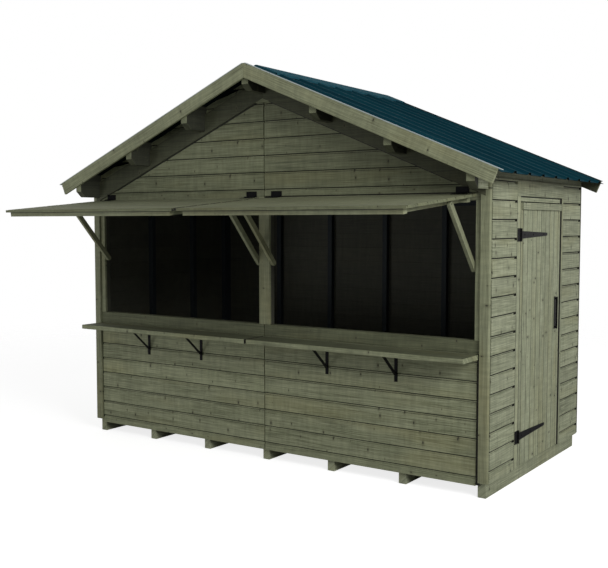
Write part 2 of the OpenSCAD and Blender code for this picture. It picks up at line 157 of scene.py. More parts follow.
def stack(side, u0, u1, line, bottom, top, face, board, cut=None, breaks=(), notch=None):
    # boards one above another from bottom to top, with a joint at height line; the roof line cut(u) trims
    # them, and proud sets each one back by a random share of it
    rng = np.random.default_rng(int(abs(u0) + 7 * abs(line)) + len(side))
    outline = boardOutline(board)
    if notch:
        breaks = [u1 - notch[0] - 0.3, u1 - notch[0] + 0.3]
    stations = np.unique(np.concatenate([np.linspace(u0, u1, 9), [b for b in breaks if u0 < b < u1]]))

    def cutTop(u):
        return np.minimum(top, cut(u)) if cut else np.full(len(u), float(top))

    solids = []
    first = line - board["cover"] * ceil((line - bottom) / board["cover"])
    for low in np.arange(first, top, board["cover"]):
        floor = max(low, bottom)
        fine = np.unique(np.concatenate([stations, np.linspace(u0, u1, 1 + int(abs(u1 - u0) / 2))]))
        shown = cutTop(fine) > floor + 1.5
        if shown.sum() < 2:
            continue
        a, b = fine[shown][0], fine[shown][-1]
        keep = np.unique(np.concatenate([[a], stations[(stations > a) & (stations < b)], [b]]))
        back = rng.uniform(0, board["proud"])
        solids.append(boardSolid(axesOf[side], outline, keep, low, face - back, cutTop, floor, notch))
    return solids


def bar(p0, p1, width, thick, up=(0, 0, 1), ease=2.0, mitre=None):
    # plank with eased arrises: a rounded rectangle carried from p0 to p1 and drawn in a little at both ends;
    # mitre slides the points of the first end along the plank onto a plane of constant X
    p0, p1 = np.array(p0, float), np.array(p1, float)
    length = np.linalg.norm(p1 - p0)
    d = (p1 - p0) / length
    side = np.cross(np.array(up, float), d)
    side /= np.linalg.norm(side)
    top = np.cross(d, side)
    pts = []
    for sx, sy, a0 in ((1, 1, 0), (-1, 1, 90), (-1, -1, 180), (1, -1, 270)):
        a = np.radians(a0 + np.linspace(0, 90, 3))
        pts.append(np.column_stack([sx * (width / 2 - ease) + ease * np.cos(a),
                                    sy * (thick / 2 - ease) + ease * np.sin(a)]))
    outline = np.concatenate(pts)
    e = min(ease, 2.0)
    stations = np.array([0, e, length / 2, length - e, length])
    drawn = np.array([0.7 * e, 0, 0, 0, 0.7 * e])[:, None]
    x = outline[None, :, 0] - np.sign(outline[None, :, 0]) * drawn
    y = outline[None, :, 1] - np.sign(outline[None, :, 1]) * drawn
    grid = p0 + stations[:, None, None] * d + x[..., None] * side + y[..., None] * top
    if mitre is not None:
        for row in (0, 1):
            slide = (mitre + row * e * d[0] - grid[row, :, 0]) / d[0]
            grid[row] += slide[:, None] * d
    return tube(grid, joined(stations[:, None], x + y))


def box(lo, hi, along, ease=2.0):
    # a bar given by its two corners; along is the axis of its length
    lo, hi = np.array(lo, float), np.array(hi, float)
    k = "xyz".index(along)
    p0, p1 = (lo + hi) / 2, (lo + hi) / 2
    p0[k], p1[k] = lo[k], hi[k]
    up = (0, 1, 0) if along == "z" else (0, 0, 1)
    return bar(p0, p1, *np.delete(hi - lo, k), up, ease)


def slab(side, stations, low, high, face, back, ease=1.5, upright=False, drop=0):
    # board whose edges vary along it: at each station its section runs from low to high and from back to face
    # less drop, with the two front arrises eased
    order = np.argsort(stations)
    u, lo, hi, drop = ((np.zeros(len(order)) + part)[order, None] for part in (stations, low, high, drop))
    v = np.concatenate([lo, lo, lo + 0.3 * ease, lo + ease, hi - ease, hi - 0.3 * ease, hi, hi], 1)
    rise = [back, face - ease, face - 0.3 * ease, face]
    depth = np.array(rise + rise[::-1])
    w = np.maximum(depth - drop * (depth > back), back + 0.5 * (depth > back))
    grain = joined(v, u + w) if upright else joined(u, v + w)
    return tube(joined(u, v, w) @ axesOf[side], grain)


def dome(centre, out, radius, height):
    # screw or bolt head: rings of radius r cos(a) at height h (1 + 3 sin(a)) / 4, and a shank h deep
    out = np.array(out, float)
    first = np.cross(out, [0.31, 0.52, 0.79])  # any direction that isn't along out
    first /= np.linalg.norm(first)
    second = np.cross(out, first)
    a = np.radians([0, 0, 25, 50, 75, 89])[:, None, None]
    rise = 0.25 + 0.75 * np.sin(a)
    rise[0] = -1.0
    t = np.linspace(0, 2 * pi, 13)[None, :-1, None]
    rings = radius * np.cos(a) * (np.cos(t) * first + np.sin(t) * second)
    grid = np.array(centre, float) + rings + height * rise * out
    return tube(grid, np.zeros(grid.shape[:2] + (2,)))


# Materials.
def linear(text):
    # sRGB hex to linear colour
    c = np.array([int(text[i:i + 2], 16) for i in (1, 3, 5)]) / 255
    c = np.where(c <= 0.04045, c / 12.92, ((c + 0.055) / 1.055) ** 2.4)
    return (*c.tolist(), 1.0)


def add(tree, kind, settings=None, values=None, links=None):
    # adds a node; settings are its properties, with stops for a colour ramp, values its unlinked inputs, and
    # links the nodes or outputs that feed its inputs
    node = tree.nodes.new("ShaderNode" + kind)
    for key, value in (settings or {}).items():
        if key == "stops":
            while len(node.color_ramp.elements) < len(value):
                node.color_ramp.elements.new(0.5)
            for element, (at, colour) in zip(node.color_ramp.elements, value):
                element.position = at
                element.color = linear(colour) if isinstance(colour, str) else (colour, colour, colour, 1.0)
        else:
            setattr(node, key, value)
    for key, value in (values or {}).items():
        node.inputs[key].default_value = value
    for key, source in (links or {}).items():
        tree.links.new(source.outputs[0] if hasattr(source, "outputs") else source, node.inputs[key])
    return node


def newMaterial(name):
    m = bpy.data.materials.new(name)
    m.use_nodes = True
    m.node_tree.nodes.clear()
    return m, m.node_tree


def surface(tree, base, rough, height, bump, values):
    # the shader and output of a material; bump is its strength and its height in metres
    bump = add(tree, "Bump", values={"Strength": bump[0], "Distance": bump[1]}, links={"Height": height})
    shader = add(tree, "BsdfPrincipled", values=values,
                 links={"Base Color": base, "Roughness": rough, "Normal": bump})
    add(tree, "OutputMaterial", links={0: shader})


# Knots lie in cells about 260 mm along the board and 95 mm across, and most cells hold one of 4 to 13 mm.
knotCells = {"perMetre": (3.9, 10.5, 1), "metres": (0.34, 0.066, 0), "share": 0.12}


def timber(name, look, ownGrain=True):
    # Softwood, sawn, machined, pressure treated and stained grey green. The eye gets fine streaks along the
    # grain, cloudy patches, yellow heartwood, faint planer marks across the board and small dark knots.
    material, tree = newMaterial(name)
    point = add(tree, "Attribute", {"attribute_name": "grain"}).outputs["Vector"]
    if not ownGrain:
        point = add(tree, "TexCoord").outputs["Object"]
    tone = add(tree, "Attribute", {"attribute_name": "tone"}).outputs["Fac"]
    layers = {}
    for key, along, across, detail in (
            ("streak", 4.0, 170.0, 4.0),  # about 6 mm wide and 250 mm long
            ("cloud", 1.7, 15.0, 3.0),  # 70 mm across the grain
            ("patch", 0.9, 4.0, 2.0),  # 250 mm across, about a metre long
            ("planer", 30.0, 5.0, 3.0),  # 33 mm apart along the board
            ("fleck", 55.0, 90.0, 2.0)):  # dark dashes about 10 mm long
        stretched = add(tree, "Mapping", values={"Scale": (along, across, across)}, links={0: point})
        layers[key] = add(tree, "TexNoise", values={"Scale": 1.0, "Detail": detail, "Roughness": 0.6},
                          links={"Vector": stretched}).outputs[0]
    stops = [(0.32, look["dark"]), (0.5, look["mid"]), (0.68, look["light"])]
    base = add(tree, "ValToRGB", {"stops": stops}, links={0: layers["streak"]})
    for key, stops, colour in (("fleck", [(0.64, 0.0), (0.76, 0.6)], "halo"),
                               ("cloud", [(0.36, 0.0), (0.7, 0.5)], "light"),
                               ("patch", [(0.5, 0.0), (0.7, look["heart"])], "warm")):
        some = add(tree, "ValToRGB", {"stops": stops}, links={0: layers[key]})
        base = add(tree, "Mix", {"data_type": "RGBA"}, {7: linear(look[colour])},
                   {0: some, 6: base}).outputs[2]
    shade = add(tree, "MapRange", links={0: layers["planer"]},
                values={"From Min": 0.3, "From Max": 0.7, "To Min": 0.84, "To Max": 1.1})
    lift = add(tree, "MapRange", values={"To Min": 0.9, "To Max": 1.08}, links={0: tone})
    shade = add(tree, "Math", {"operation": "MULTIPLY"}, links={0: shade, 1: lift})
    base = add(tree, "VectorMath", {"operation": "SCALE"}, links={0: base, "Scale": shade}).outputs[0]
    height = layers["streak"]
    if look["knots"]:
        cells = add(tree, "Mapping", values={"Scale": knotCells["perMetre"]}, links={0: point})
        near = add(tree, "TexVoronoi", {"voronoi_dimensions": "2D"}, {"Scale": 1.0},
                   {"Vector": cells})
        pick = add(tree, "SeparateColor", links={0: near.outputs["Color"]})
        gap = add(tree, "VectorMath", {"operation": "SUBTRACT"},
                  links={0: near.outputs["Position"], 1: cells})
        gap = add(tree, "VectorMath", {"operation": "MULTIPLY"}, {1: knotCells["metres"]}, {0: gap})
        reach = add(tree, "VectorMath", {"operation": "LENGTH"}, links={0: gap}).outputs["Value"]
        size = add(tree, "MapRange", links={0: pick},
                   values={"From Min": knotCells["share"], "To Min": 0.00002, "To Max": look["knots"]})
        away = add(tree, "Math", {"operation": "DIVIDE"}, links={0: reach, 1: size})
        away = add(tree, "Math", {"operation": "MULTIPLY"}, {1: 0.25}, {0: away})
        for stops, colour in (([(0.2, 0.6), (0.9, 0.0)], "halo"), ([(0.15, 0.92), (0.32, 0.0)], "knot")):
            some = add(tree, "ValToRGB", {"stops": stops}, links={0: away})
            base = add(tree, "Mix", {"data_type": "RGBA"}, {7: linear(look[colour])},
                       {0: some, 6: base}).outputs[2]
        height = add(tree, "Math", {"operation": "SUBTRACT"}, links={0: height, 1: some})
    rough = add(tree, "MapRange", links={0: layers["streak"]},
                values={"To Min": look["rough"] - 0.1, "To Max": look["rough"] + 0.1})
    surface(tree, base, rough, height, (0.3, 0.001), {"IOR": 1.45})
    return material


stain = {"dark": "#5a5e48", "mid": "#83886e", "light": "#a5a98e", "warm": "#8f8b60", "halo": "#56563f",
         "knot": "#24221a", "heart": 0.3, "knots": 0.0075, "rough": 0.75}
trimStain = dict(stain, dark="#5c5f47", mid="#7a7e63", light="#94987a", warm="#888156", heart=0.35)
slimStain = dict(trimStain, knots=0.004)
# Painted shade: the front wall's cladding is a darker copy of the side walls' stain, as less light falls on
# it.
frontShadeStain = dict(stain, dark="#52563f", mid="#7b8063", light="#9ca082", warm="#8c875b")
# Painted shade: a darker copy of the cladding stain for the boards, ends and block under the roof.
roofShadeStain = dict(stain, dark="#4d503a", mid="#6e7359", light="#888c70", warm="#7a764e")
# Painted shade: the hatch boards under the roof's overhang are darker still.
hatchShadeStain = dict(roofShadeStain, dark="#42452f", mid="#60644a", light="#7a7e62", warm="#6b6744", knots=0.006)
# Painted shade: the bands, purlins and barge backs under the roof are much darker copies of the stain.
eavesShadeStain = dict(roofShadeStain, dark="#2a2c1f", mid="#3f4230", light="#50533f", warm="#49462f")
# Painted shade, darker still, on the purlin sides that face the light.
beamSideShadeStain = dict(eavesShadeStain, dark="#171910", mid="#26281c", light="#323427", warm="#2b2a1c")
# Painted shade: the sill and the counter tops under the hatches are darker than the cladding.
sillShadeStain = dict(roofShadeStain, dark="#393c29", mid="#535740", light="#6a6e54", warm="#5e5a38", knots=0.006)
# Painted shade for the unlit inside: the inner faces, the deck, the back of the sill and the studs behind the
# posts.
shadeStain = dict(stain, dark="#313229", mid="#3d3e34", light="#494a3d", warm="#424030", knots=0.0)
# Painted shade: the studwork inside is near black and bluish.
studShadeStain = dict(shadeStain, dark="#141c20", mid="#192226", light="#20292d", warm="#1e2628")
# Painted shade: near black for the insides of the board joints and the gaps between parts.
jointShadeStain = dict(shadeStain, dark="#15150f", mid="#1a1a13", light="#202018", warm="#1c1a12")

boardWood = timber("stained softwood cladding", stain)
roofShadeWood = timber("stained softwood cladding under the roof", roofShadeStain)
frontShadeWood = timber("stained softwood cladding of the front in painted shade", frontShadeStain)
hatchShadeWood = timber("stained softwood hatch boards", hatchShadeStain)
eavesShadeWood = timber("softwood beams under the roof", eavesShadeStain)
# Painted shade: the beam sides that face the light are kept darker than the bands.
beamSideShadeWood = timber("softwood beam sides under the roof", beamSideShadeStain)
sillShadeWood = timber("planed softwood sill and counter in painted shade", sillShadeStain)
trimWood = timber("planed softwood trim", trimStain)
slimWood = timber("planed softwood batten", slimStain)
bearerWood = timber("sawn softwood bearer", dict(stain, rough=0.82))
shadedWood = timber("softwood inside in painted shade", shadeStain, ownGrain=False)
studShadeWood = timber("sawn softwood studwork in painted shade", studShadeStain, ownGrain=False)
jointShadeWood = timber("painted shade in the board joints and gaps", jointShadeStain, ownGrain=False)
headWood = timber("planed softwood head rail", dict(trimStain, knots=0.0), ownGrain=False)


def coatedSteel(name, look):
    # Roll-formed steel with a baked polyester coat in deep petrol blue. The eye gets an even colour, a soft
    # broad sheen, faint rain marks down the slope and a trace of dust.
    material, tree = newMaterial(name)
    coords = add(tree, "TexCoord").outputs["Object"]
    run = add(tree, "Mapping", values={"Scale": (1.2, 26.0, 1.2)}, links={0: coords})
    marks = add(tree, "TexNoise", values={"Scale": 1.0, "Detail": 3.0}, links={"Vector": run})
    fine = add(tree, "TexNoise", values={"Scale": 900.0, "Detail": 1.0}, links={"Vector": coords})
    stops = [(0.3, look["dark"]), (0.55, look["mid"]), (0.8, look["light"])]
    base = add(tree, "ValToRGB", {"stops": stops}, links={0: marks})
    rough = add(tree, "MapRange", links={0: marks},
                values={"To Min": look["rough"] - 0.08, "To Max": look["rough"] + 0.12})
    surface(tree, base, rough, fine, (0.06, 0.0005), {"IOR": 1.4, "Specular IOR Level": look["sheen"]})
    return material


def blackIron():
    # Pressed steel with a black powder coat: fine orange-peel texture and a dull sheen.
    material, tree = newMaterial("black powder-coated steel")
    coords = add(tree, "TexCoord").outputs["Object"]
    peel = add(tree, "TexNoise", values={"Scale": 1400.0, "Detail": 2.0}, links={"Vector": coords})
    worn = add(tree, "TexNoise", values={"Scale": 45.0, "Detail": 3.0}, links={"Vector": coords})
    base = add(tree, "ValToRGB", {"stops": [(0.35, "#040405"), (0.75, "#09090a")]}, links={0: worn})
    rough = add(tree, "MapRange", values={"To Min": 0.42, "To Max": 0.62}, links={0: worn})
    surface(tree, base, rough, peel, (0.15, 0.0003), {"IOR": 1.5, "Specular IOR Level": 0.08})
    return material


sheetLook = {"dark": "#0c2d37", "mid": "#103640", "light": "#164049", "rough": 0.75, "sheen": 0.02}
# a pale copy of the sheet's colour for the strip over the front barge boards
paleVergeLook = dict(sheetLook, dark="#9aa6a6", mid="#b4bebc", light="#c6cdc9")
capLook = dict(sheetLook, dark="#1f4854", mid="#27535f", light="#2f5e6a")
# Painted shade: a near-black copy of the sheet's colour for its underside.
undersideShadeLook = dict(sheetLook, dark="#0c1517", mid="#10191b", light="#141e20")
roofSteel = coatedSteel("coated steel roof sheet", sheetLook)
paleVergeSteel = coatedSteel("bare zinc edge of the roof sheet", paleVergeLook)
capSteel = coatedSteel("coated steel ridge cap", capLook)
undersideShadeSteel = coatedSteel("primer on the back of the roof sheet", undersideShadeLook)
iron = blackIron()
print("materials made")

# CAD nodes that stay get their material here; the deck and the studwork inside are in painted shade.
kept = {"floor_deck": shadedWood, "front_frame": studShadeWood, "back_frame": studShadeWood, "left_frame": studShadeWood,
        "right_frame": studShadeWood, "front_gable_frame": headWood, "counter_brackets": iron,
        "hatch_hinge_plates": iron, "hatch_left_iron": iron, "hatch_right_iron": iron, "door_straps": iron,
        "door_hinge_plates": iron, "door_handle": iron}
for name, material in kept.items():
    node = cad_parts[name]
    node.data.materials.clear()
    node.data.materials.append(material)

# Shared lines of the building, read from the frame.
rightLow, rightHigh = corners("right_boards")
frontLow, frontHigh = corners("front_boards")
capLow, capHigh = corners("ridge_cap")
wallX, wallY = rightHigh[0], -frontLow[1]
innerX, innerY = rightLow[0], -frontHigh[1]
slope = radians(22.81)
roof = {"tan": tan(slope), "cos": cos(slope), "sin": sin(slope),
        "ridge": corners("purlins")[1][2], "purlinWidth": 58.0, "purlinDepth": 176.0, "clear": 1.0}
eavesPurlin = innerX - 1 - roof["purlinWidth"] / 2
purlinX = np.arange(-3, 4) * eavesPurlin / 3
notchHalf = roof["purlinWidth"] / 2 + roof["clear"]
notchEdges = np.sort(np.concatenate([purlinX + s * e for s in (-1, 1) for e in (notchHalf, notchHalf + 0.4)]))


def roofAt(x):
    # underside of the roof sheet: the ridge height less |x| tan(slope)
    return roof["ridge"] - np.abs(x) * roof["tan"]


def notched(x, height):
    # the height, or the underside of a purlin's hole where one passes
    x = np.asarray(x, float)
    nearest = purlinX[np.argmin(np.abs(x[:, None] - purlinX[None, :]), 1)]
    hole = roofAt(nearest) - roof["purlinDepth"] - roof["clear"]
    return np.where(np.abs(x - nearest) <= notchHalf + 0.2, np.minimum(height, hole), height)


# Walls.
board = {"cover": 125.0, "thick": 19.0, "groove": 17.0, "quirk": 3.0, "quirkDepth": 7.5, "depth": 5.0,
         "slit": 6.0, "slitDepth": 16.0, "ease": 1.5, "proud": 0.9}
wall = {"hidden": 8.0, "inner": 17.6}  # depths behind the face where the painted shade of the joints and of the inside begins


def wallPiece(name, solids, node, body="chalet", finish=boardWood, inside=1):
    # the finish on the face, painted shade deep in the joints and the inside's painted shade inside, or the
    # finish again with inside = -1; the name starts with the side
    side = name.split("_")[0]
    axis, face = axesOf[side][2], wallY if side in ("front", "back") else wallX

    def byDepth(at, normals):
        out = at @ axis
        return 1 * (out < face - wall["hidden"]) + inside * (out < face - wall["inner"])

    makePiece(name, solids, [finish, jointShadeWood, shadedWood], [node], body, shaded=byDepth)


front = {"middle": 4.5, "left": 1727.0, "right": 1709.0, "line": 142.0, "bottom": frontLow[2], "top": 941.5,
         "fillTo": 1731.0}
solids = []
for u0, u1 in ((-front["left"], -front["middle"]), (front["middle"], front["right"])):
    solids += stack("front", u0, u1, front["line"], front["bottom"], front["top"], wallY, board)
# a filler in painted shade behind the gap beside the right-hand corner trim
solids.append(box((front["right"] - 6, -wallY + wall["hidden"] + 1, front["bottom"] + 2),
                  (front["fillTo"], -innerY, front["top"]), "z", 1.0))
wallPiece("front_boarding", solids, "front_boards", finish=frontShadeWood)

gable = {"bottom": corners("front_gable_boards")[0][2], "line": 2038.0, "reach": innerX - 0.5, "clear": 3.0,
         "gap": 9.0, "shadowEnd": 1525.0}


def gableCut(x):
    # the roof line less a small gap, with the purlins' holes
    return notched(x, roofAt(x) - gable["clear"])


solids = []
for u0, u1, low in ((-gable["reach"], -front["middle"], gable["bottom"]),
                    (front["middle"], gable["reach"], gable["bottom"] + gable["gap"])):
    solids += stack("front", u0, u1, gable["line"], low, roof["ridge"], wallY, board, gableCut, notchEdges)
# a filler in painted shade behind the gap over the right-hand hatch
solids.append(box((front["middle"], -wallY + wall["hidden"] + 1, gable["bottom"]),
                  (gable["shadowEnd"], -innerY, gable["bottom"] + gable["gap"] + 1), "x", 1.0))
wallPiece("front_gable_boarding", solids, "front_gable_boards",
          finish=roofShadeWood)

flank = {"line": 188.0, "bottom": rightLow[2], "top": rightHigh[2], "frontEdge": 16.0, "backEdge": 10.0,
         "doorLap": 5.0, "doorGap": 1.0, "notch": (28.0, 16.0)}
sideBoard = dict(board, slit=8.0)
doorLow, doorHigh = corners("door_header")
edges = ((-wallY + flank["frontEdge"], doorLow[1] - flank["doorLap"]),
         (doorHigh[1] + flank["doorGap"], wallY - flank["backEdge"]))
solids = []
for u0, u1 in edges:
    solids += stack("right", u0, u1, flank["line"], flank["bottom"], flank["top"], wallX, sideBoard,
                    notch=flank["notch"])
wallPiece("right_boarding", solids, "right_boards")
solids = stack("left", -wallY, wallY, flank["line"], flank["bottom"], flank["top"], wallX, sideBoard)
wallPiece("left_boarding", solids, "left_boards")
solids = stack("back", -gable["reach"], gable["reach"], flank["line"], flank["bottom"], roof["ridge"], wallY,
               sideBoard, gableCut, notchEdges)
wallPiece("back_boarding", solids, "back_boards")
print("walls boarded")

# Door: upright matchboards, a drip board at the head, ledges behind.
match = {"cover": 88.0, "thick": 19.0, "groove": 7.0, "quirk": 1.0, "quirkDepth": 4.0, "depth": 4.0,
         "slit": 3.0, "slitDepth": 12.0, "ease": 1.5, "proud": 0.5, "firstJoint": 46.0}
leafLow, leafHigh = corners("door_leaf")
drip = {"height": 48.0, "thick": 14.0, "front": 14.0, "back": 8.0}
solids = stack("door", leafLow[2], leafHigh[2], leafLow[1] + match["firstJoint"], leafLow[1], leafHigh[1],
               wallX, match)
solids.append(box((wallX, leafLow[1] + drip["front"], leafHigh[2] - drip["height"]),
                  (wallX + drip["thick"], leafHigh[1] - drip["back"], leafHigh[2]), "y", 2.5))
wallPiece("door_boarding", solids, "door_leaf", body="door", inside=-1)
ledge = {"height": 95.0, "heights": (319.0, 1012.5, 1706.0)}
low, high = corners("door_ledges")
half = ledge["height"] / 2
solids = [box((low[0], low[1], z - half), (high[0], high[1], z + half), "y", 3.0) for z in ledge["heights"]]
makePiece("door_ledge_boards", solids, [slimWood], ["door_ledges"], "door")

# Strips round the door, with a rebate and a door stop in painted shade behind the open gap at its back edge.
stripLow, stripHigh = corners("door_strips")
deckTop = corners("floor_deck")[1][2]
strip = {"width": 60.0, "headLow": 1932.0, "headHigh": 1960.0, "headBack": 5.0, "shadowGap": 28.0,
         "rebate": 11.0, "stopBack": 5.5, "stopThick": 15.0, "stopLap": 12.0, "stud": 44.0}
backEdge = stripHigh[1] - strip["width"]


def stripFinish(at, normals):
    # painted shade on the faces towards the front and on all that lies behind the rebate
    return (normals[:, 1] < -0.7) | (at[:, 0] < wallX - strip["rebate"] + 0.5)


makePiece("door_frame_strips", [
    box(stripLow, (wallX, stripLow[1] + strip["width"] - 1, stripHigh[2]), "z"),
    box((innerX, backEdge + strip["shadowGap"], stripLow[2]), stripHigh, "z"),
    box((innerX, stripLow[1] + strip["width"], strip["headLow"]),
        (wallX - strip["headBack"], backEdge, strip["headHigh"]), "y"),
    box((innerX, backEdge + 1, stripLow[2] + 1),
        (wallX - strip["rebate"], backEdge + strip["shadowGap"] + 2, stripHigh[2] - 1), "z", 1.0),
    box((innerX - strip["stopBack"] - strip["stopThick"], leafHigh[1] - strip["stopLap"], deckTop),
        (innerX - strip["stopBack"], doorHigh[1] - strip["stud"] + 2, stripHigh[2] - 8), "z", 1.0)],
    [boardWood, jointShadeWood], ["door_strips"], shaded=stripFinish)
makePiece("door_head_board", [box(doorLow, doorHigh, "y", 2.5)], [boardWood], ["door_header"])
print("door made")

# Rails, posts and corner trims.
sillLow, sillHigh = corners("sill_rail")
sill = {"faceLow": 943.0, "faceThick": 18.5, "ease": 3.0, "middle": 3.0, "inside": 95.0}


def sillRail(x0, x1):
    # an L-shaped section (y, z) carried along x: the sill with its deep face board below the front edge
    e, back, face = sill["ease"], sillHigh[1], sillLow[1]
    a = np.linspace(0, pi / 2, 4)
    nose = np.column_stack([face + e - e * np.cos(a), sillHigh[2] - e + e * np.sin(a)])
    rest = [[back, sillHigh[2]], [back, sillLow[2]], [face + sill["faceThick"], sillLow[2]],
            [face + sill["faceThick"], sill["faceLow"]], [face + 1, sill["faceLow"]],
            [face, sill["faceLow"] + 1]]
    y, z = np.concatenate([nose, rest]).T
    x = np.linspace(x0, x1, 5)[:, None]
    return tube(joined(x, y, z), joined(x, y + z))


# the sill is in painted shade, and its back inside the wall takes the inside's darker painted shade
makePiece("sill_boards", [sillRail(-innerX, -sill["middle"]), sillRail(sill["middle"], innerX)],
          [sillShadeWood, shadedWood], ["sill_rail"],
          shaded=lambda at, normals: at[:, 1] > -wallY + sill["inside"])
post = {"faceThick": 22.0, "inset": 2.0, "jamb": 91.0}


def facedPost(low, high):
    # a planed face board with the sawn stud behind it, set in a little; the stud is in painted shade
    split = low[1] + post["faceThick"]
    return [box(low, (high[0], split, high[2]), "z", 3.0),
            box((low[0] + post["inset"], split, low[2]), (high[0] - post["inset"], high[1], high[2]), "z")]


def behindFace(at, normals):
    # painted shade on all that lies behind the face board
    return at[:, 1] > -wallY + post["faceThick"] + 0.5


makePiece("centre_post", facedPost(*corners("middle_post")), [trimWood, shadedWood], ["middle_post"],
          shaded=behindFace)
low, high = corners("front_jambs")
solids = facedPost(low, (low[0] + post["jamb"], high[1], high[2]))
solids += facedPost((high[0] - post["jamb"], low[1], low[2]), high)
makePiece("front_jamb_posts", solids, [trimWood, shadedWood], ["front_jambs"],
          shaded=behindFace)

corner = {"width": 68.0, "thick": 18.0, "round": 12.0, "bandEnd": 38.0, "bandDrop": 212.0}
corner["low"] = corners("front_corner_trims")[0][2]
trimFace = wallY + corner["thick"]


def cornerTrim(side, hand):
    # stations run across the trim; its top steps round the gable trim and the eaves purlin, and its outer
    # arris is a quarter round
    x0, step1, step2 = wallX - corner["width"], wallX - corner["bandEnd"] + 1, eavesPurlin + notchHalf
    curve = wallX - corner["round"] + corner["round"] * np.sin(np.linspace(0, pi / 2, 7))
    x = np.unique(np.concatenate([[x0, x0 + 0.7, x0 + 2, step1, step1 + 0.3, step2, step2 + 0.3], curve]))
    under = roofAt(x) - corner["bandDrop"] - 1
    hole = roofAt(eavesPurlin) - roof["purlinDepth"] - roof["clear"]
    top = np.where(x <= step1, under, np.where(x <= step2, hole, flank["top"]))
    past = np.maximum(x - wallX + corner["round"], 0)
    fall = corner["round"] - np.sqrt(np.maximum(corner["round"] ** 2 - past ** 2, 0))
    fall = fall + np.where(x == x0, 1.5, 0)
    return slab(side, hand * x, corner["low"], top, trimFace, wallY, 1.5, True, fall)


def cornerFinish(at, normals):
    # painted shade on the back boards' faces towards the front, in the gap beside the wall boards
    return (normals[:, 1] < -0.7) & (at[:, 1] > 0)


for end in ("front", "back"):
    makePiece(f"{end}_corner_boards", [cornerTrim(end, hand) for hand in (-1, 1)], [trimWood, jointShadeWood],
              [f"{end}_corner_trims"], smooth=35, shaded=cornerFinish)

band = {"width": 140.0, "plate": (1548.5, 1645.5), "plateTop": 2021.0}
band["high"] = corner["bandDrop"] - band["width"] / roof["cos"]


def gableBand(side, hand):
    # the wide trim under the roof: its upper edge drops below each purlin, the front one steps over a hinge
    reach = wallX - corner["bandEnd"]
    steps = [p + s for p in band["plate"] for s in (-0.2, 0.2)]
    holes = notchEdges[(notchEdges > 1) & (notchEdges < reach)]
    x = np.unique(np.concatenate([[1.0, reach], np.linspace(1, reach, 12), holes, steps]))
    bottom = roofAt(x) - corner["bandDrop"]
    if side == "front":
        inPlate = (x > band["plate"][0]) & (x < band["plate"][1])
        bottom = np.where(inPlate, np.maximum(bottom, band["plateTop"]), bottom)
    top = notched(x, roofAt(x) - band["high"])
    return slab(side, hand * x, bottom, top, trimFace, wallY, 2.0)


# the bands are in painted shade under the roof
for end in ("front", "back"):
    makePiece(f"{end}_gable_bands", [gableBand(end, hand) for hand in (-1, 1)], [eavesShadeWood],
              [f"{end}_gable_trims"])

# Under the bands, a line of painted shadow and a small block at the top of the gable.
bandShadowAndBlock = {"size": 7.0, "block": 62.0, "blockHigh": 30.0}
solids = []
for hand in (-1, 1):
    ends = [(hand * x, -wallY - 1.0, roofAt(x) - corner["bandDrop"] - 3.5) for x in (4.0, gable["shadowEnd"])]
    solids.append(bar(*ends, bandShadowAndBlock["size"], bandShadowAndBlock["size"], ease=1.0))
makePiece("front_band_shadow_strip", solids, [jointShadeWood])
x = np.array([-bandShadowAndBlock["block"], -4, 4, bandShadowAndBlock["block"]])
makePiece("front_band_apex_block",
          [slab("front", x, roofAt(0) - corner["bandDrop"] - bandShadowAndBlock["blockHigh"],
                roofAt(x) - corner["bandDrop"] + 6, trimFace - 1, wallY + 1, 2.0)],
          [roofShadeWood])

barge = {"width": 97.0, "lift": 14.0, "thick": 20.0, "gap": 0.5}


def bargeEnd(hand, x, y):
    # point of a barge board's centre line: the roof line at x, moved square to the slope
    down = np.array([-hand * roof["sin"], 0, -roof["cos"]]) * (barge["width"] / 2 - barge["lift"])
    return np.array([hand * x, y, roofAt(x)]) + down


for end, inward in (("front", 1), ("back", -1)):
    low, high = corners(f"{end}_barge_boards")
    middle = (low[1] + high[1]) / 2
    solids = [bar(bargeEnd(hand, barge["gap"], middle), bargeEnd(hand, high[0], middle), barge["thick"],
                  barge["width"], ease=2.5, mitre=hand * barge["gap"]) for hand in (-1, 1)]
    # the faces towards the walls stand in the roof's shade, painted on them as a darker stain
    makePiece(f"{end}_barge_pair", solids, [trimWood, eavesShadeWood], [f"{end}_barge_boards"],
              shaded=lambda at, normals: normals[:, 1] * inward > 0.7)
print("trims made")

# Purlins run through both gables, their ends cut back below.
purlin = {"splay": 44.0, "splayLength": 50.0, "ease": 2.0}
purlinLow, purlinHigh = corners("purlins")


def purlinSolid(x):
    # section (x, z) with its top on the roof slope, carried along y; near the front the underside rises
    e, half = purlin["ease"], roof["purlinWidth"] / 2
    base = roofAt(x) - roof["purlinDepth"]
    y = np.array([purlinLow[1], purlinLow[1] + purlin["splayLength"], 0, purlinHigh[1]])[:, None]
    lift = np.array([purlin["splay"], 0, 0, 0])[:, None]
    across = np.array([-half, e - half, half - e, half, half, 0, -half])
    bottom = base + np.array([e, 0, 0, e]) + lift
    top = np.repeat(roofAt(x + across[None, 4:]), 4, 0)
    z = np.concatenate([bottom, top], 1)
    return tube(joined(x + across, y, z), joined(y, x + across + z))


def purlinFinish(at, normals):
    # 0 in the eaves, 1 on the front ends, 2 on the outer sides along the walls, 3 towards the door end,
    # facing the light; 0 and 1 are painted shade, 3 the darkest painted shade
    under = np.where(normals[:, 1] < -0.7, 1, np.where(normals[:, 0] > 0.7, 3, 0))
    return np.where((np.abs(at[:, 0]) > eavesPurlin + 20) & (at[:, 1] > -wallY), 2, under)


makePiece("purlin_beams", [purlinSolid(x) for x in purlinX], [eavesShadeWood, roofShadeWood, boardWood, beamSideShadeWood],
          ["purlins"], shaded=purlinFinish)

